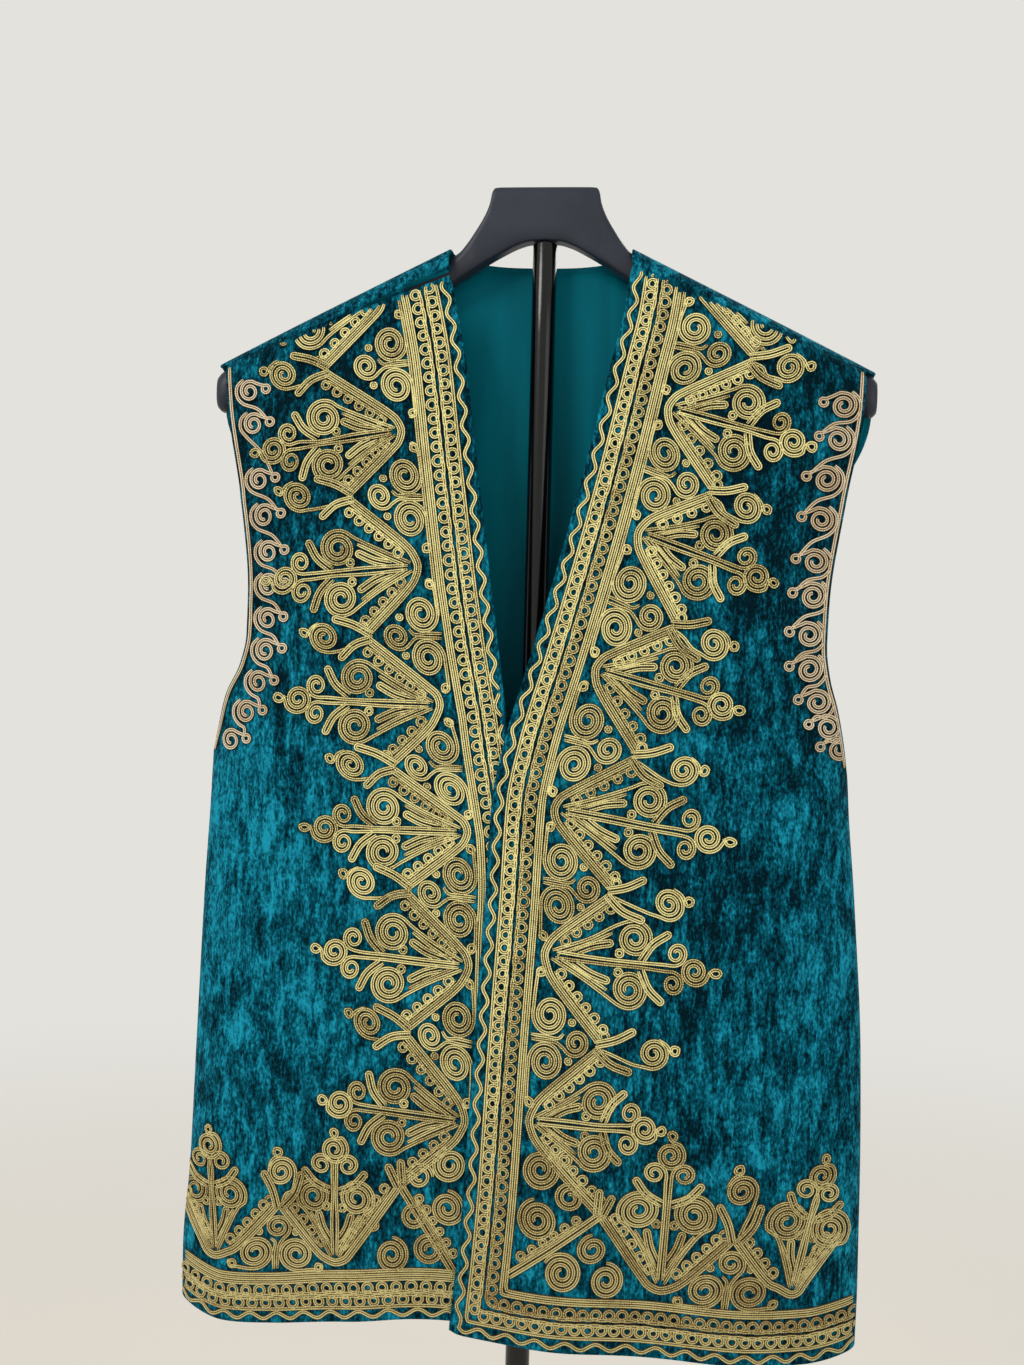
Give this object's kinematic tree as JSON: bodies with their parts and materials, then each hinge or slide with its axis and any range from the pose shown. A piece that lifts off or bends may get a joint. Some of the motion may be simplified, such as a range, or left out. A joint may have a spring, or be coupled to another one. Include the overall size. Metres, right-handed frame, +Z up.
{
  "type": "embroidered vest on a display stand",
  "caption": "Sleeveless open-front velvet folk vest with gold braid borders and palmettes, hanging on a hanger-headed display stand with a round base.",
  "frame": {"origin": "centre of the base's underside, on the pole's axis", "axes": "+Z up along the pole, -Y towards the front of the vest, +X to the right as seen from the front"},
  "size_m": [0.4522, 0.28, 1.449],
  "materials": {
    "velvet": "crushed velvet, teal",
    "lining": "smooth satin lining, teal",
    "gold_braid": "metallic thread braid, pale gold",
    "hanger_plastic": "moulded, dark slate grey",
    "stand_paint": "gloss black"
  },
  "bodies": {
    "root": {"front_left": "velvet", "front_right": "velvet", "back": "velvet", "back_lining": "lining", "front_left_edge_band": "gold_braid", "front_left_hem_band": "gold_braid", "front_left_armhole_braid": "gold_braid", "front_left_armhole_scrolls": "gold_braid", "front_left_palmette_1": "gold_braid", "front_left_palmette_2": "gold_braid", "front_left_palmette_3": "gold_braid", "front_left_palmette_4": "gold_braid", "front_left_palmette_5": "gold_braid", "front_left_palmette_6": "gold_braid", "front_left_spandrel_1": "gold_braid", "front_left_spandrel_2": "gold_braid", "front_left_spandrel_3": "gold_braid", "front_left_spandrel_4": "gold_braid", "front_left_spandrel_5": "gold_braid", "front_left_spandrel_6": "gold_braid", "front_left_corner_spandrel": "gold_braid", "front_left_hem_palmette_1": "gold_braid", "front_left_hem_palmette_2": "gold_braid", "front_left_hem_palmette_3": "gold_braid", "front_right_edge_band": "gold_braid", "front_right_hem_band": "gold_braid", "front_right_armhole_braid": "gold_braid", "front_right_armhole_scrolls": "gold_braid", "front_right_palmette_1": "gold_braid", "front_right_palmette_2": "gold_braid", "front_right_palmette_3": "gold_braid", "front_right_palmette_4": "gold_braid", "front_right_palmette_5": "gold_braid", "front_right_palmette_6": "gold_braid", "front_right_spandrel_1": "gold_braid", "front_right_spandrel_2": "gold_braid", "front_right_spandrel_3": "gold_braid", "front_right_spandrel_4": "gold_braid", "front_right_spandrel_5": "gold_braid", "front_right_spandrel_6": "gold_braid", "front_right_corner_spandrel": "gold_braid", "front_right_hem_palmette_1": "gold_braid", "front_right_hem_palmette_2": "gold_braid", "front_right_hem_palmette_3": "gold_braid", "hanger": "hanger_plastic", "pole": "stand_paint", "base": "stand_paint"}
  },
  "joints": []
}
